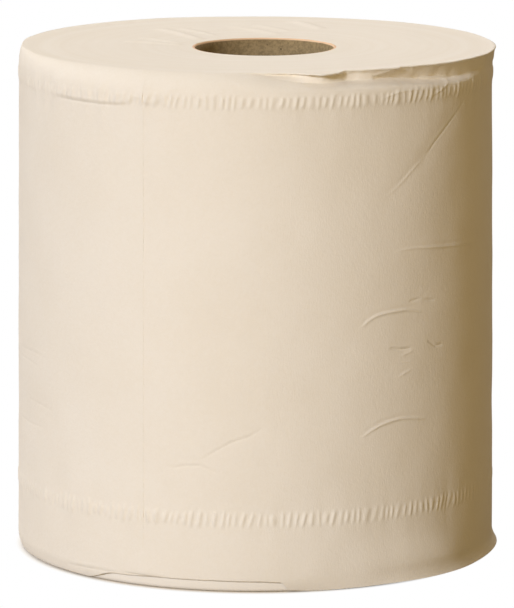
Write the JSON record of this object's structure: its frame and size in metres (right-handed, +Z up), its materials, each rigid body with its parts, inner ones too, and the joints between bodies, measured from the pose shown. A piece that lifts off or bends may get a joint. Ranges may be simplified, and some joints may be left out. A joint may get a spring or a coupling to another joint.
{
  "type": "center pull paper towel roll",
  "caption": "Free-standing centre-feed roll of crimped two-ply paper towel wound on a cardboard core, with a loose outer turn, a ruffled rim and a flared foot.",
  "frame": {"origin": "on the core's axis, in the plane that the roll stands on", "axes": "+Z up along the core, -Y towards the front, where the web's tail and the lifted lower edge are"},
  "size_m": [0.1973, 0.1956, 0.206],
  "materials": {
    "paper": "matte",
    "core": "matte"
  },
  "bodies": {
    "root": {"paper_roll": "paper", "core_tube": "core"}
  },
  "joints": []
}
